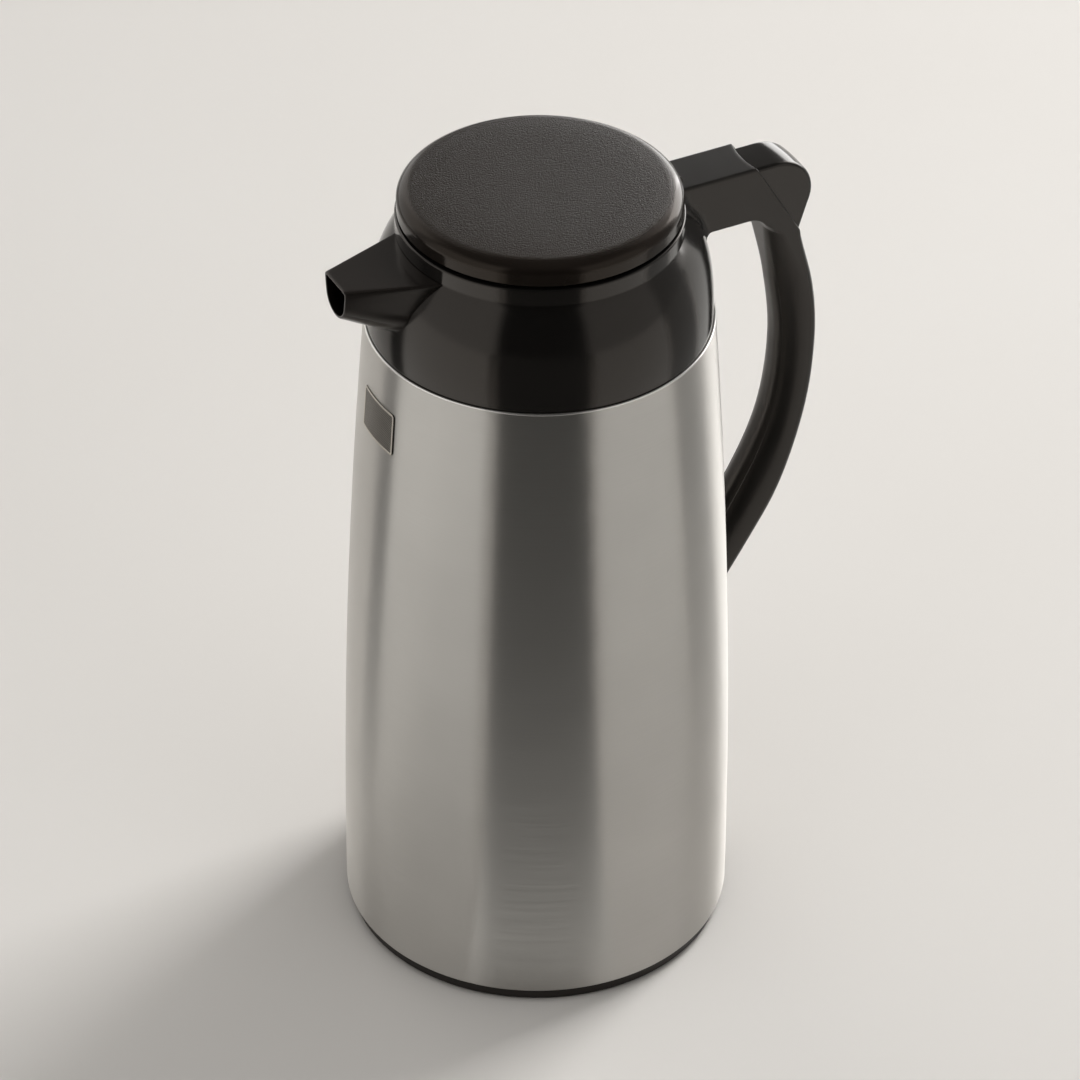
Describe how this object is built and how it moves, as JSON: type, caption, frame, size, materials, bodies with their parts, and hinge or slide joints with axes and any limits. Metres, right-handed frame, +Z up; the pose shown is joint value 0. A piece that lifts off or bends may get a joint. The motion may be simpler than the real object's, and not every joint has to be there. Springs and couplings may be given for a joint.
{
  "type": "thermal carafe with flip lid",
  "caption": "Tall insulated serving carafe with a glass liner in a brushed steel body, black flip lid with a lever-worked valve, faceted spout and bow handle.",
  "frame": {"origin": "centre of the base on the table", "axes": "+Z up through the body, +X towards the handle, -X towards the spout"},
  "size_m": [0.1777, 0.1352, 0.2954],
  "materials": {
    "shell_steel": "brushed round the body",
    "black_plastic": "moulded, glossy",
    "grey_plastic": "moulded, satin",
    "lever_plastic": "moulded, glossy",
    "liner_glass": "silvered vacuum flask",
    "seal_rubber": "soft silicone",
    "pad_rubber": "soft",
    "small_steel": "drawn and plated",
    "plate_metal": "painted, satin"
  },
  "bodies": {
    "carafe": {"steel_shell": "shell_steel", "base_ring": "black_plastic", "base_cover": "black_plastic", "liner_cushion": "pad_rubber", "liner_outer_glass": "liner_glass", "liner_inner_glass": "liner_glass", "liner_spacers": "pad_rubber", "neck_gasket": "seal_rubber", "shoulder": "black_plastic", "bowl_floor": "black_plastic", "rod_bushing": "grey_plastic", "spout": "black_plastic", "handle": "black_plastic", "handle_cover": "black_plastic", "handle_upper_screws": "small_steel", "handle_lower_screw": "small_steel", "handle_washer": "small_steel", "lever_pin": "small_steel", "rod_spring": "small_steel", "lid_hinge_pin": "small_steel", "badge_plate": "plate_metal"},
    "lid": {"lid_cap": "black_plastic", "lid_inner": "grey_plastic", "stopper_cup": "grey_plastic", "stopper_gasket": "seal_rubber", "rocker_pin": "small_steel", "valve_spring": "small_steel"},
    "thumb_lever": {"thumb_lever": "lever_plastic"},
    "push_rod": {"push_rod": "grey_plastic"},
    "rocker": {"rocker": "grey_plastic"},
    "valve": {"valve_stem": "small_steel", "valve_plug": "grey_plastic", "valve_gasket": "seal_rubber"}
  },
  "joints": [
    {"name": "lid_flip", "type": "hinge", "parent": "carafe", "child": "lid", "pos_m": [0.046, 0, 0.2876], "axis": [0, 1, 0], "range_deg": [0, 110]},
    {"name": "lever_press", "type": "hinge", "parent": "carafe", "child": "thumb_lever", "pos_m": [0.0874, 0, 0.2602], "axis": [0, -1, 0], "range_deg": [0, 12], "stiffness_Nm_per_rad": 0.5, "springref_deg": -4.58},
    {"name": "rod_push", "type": "slide", "parent": "carafe", "child": "push_rod", "axis": [-1, 0, 0], "range_m": [0, 0.00245], "deforming": ["rod_spring"]},
    {"name": "rocker_turn", "type": "hinge", "parent": "lid", "child": "rocker", "pos_m": [0.024, 0, 0.2842], "axis": [0, 1, 0], "range_deg": [0, 12.1]},
    {"name": "valve_lift", "type": "slide", "parent": "lid", "child": "valve", "axis": [0, 0, 1], "range_m": [0, 0.00502], "deforming": ["valve_spring"]}
  ],
  "couplings": [
    {"joint": "rod_push", "follows": "lever_press", "m_per_rad": 0.0116},
    {"joint": "rocker_turn", "follows": "lever_press", "ratio": 1},
    {"joint": "valve_lift", "follows": "lever_press", "m_per_rad": 0.02388}
  ]
}
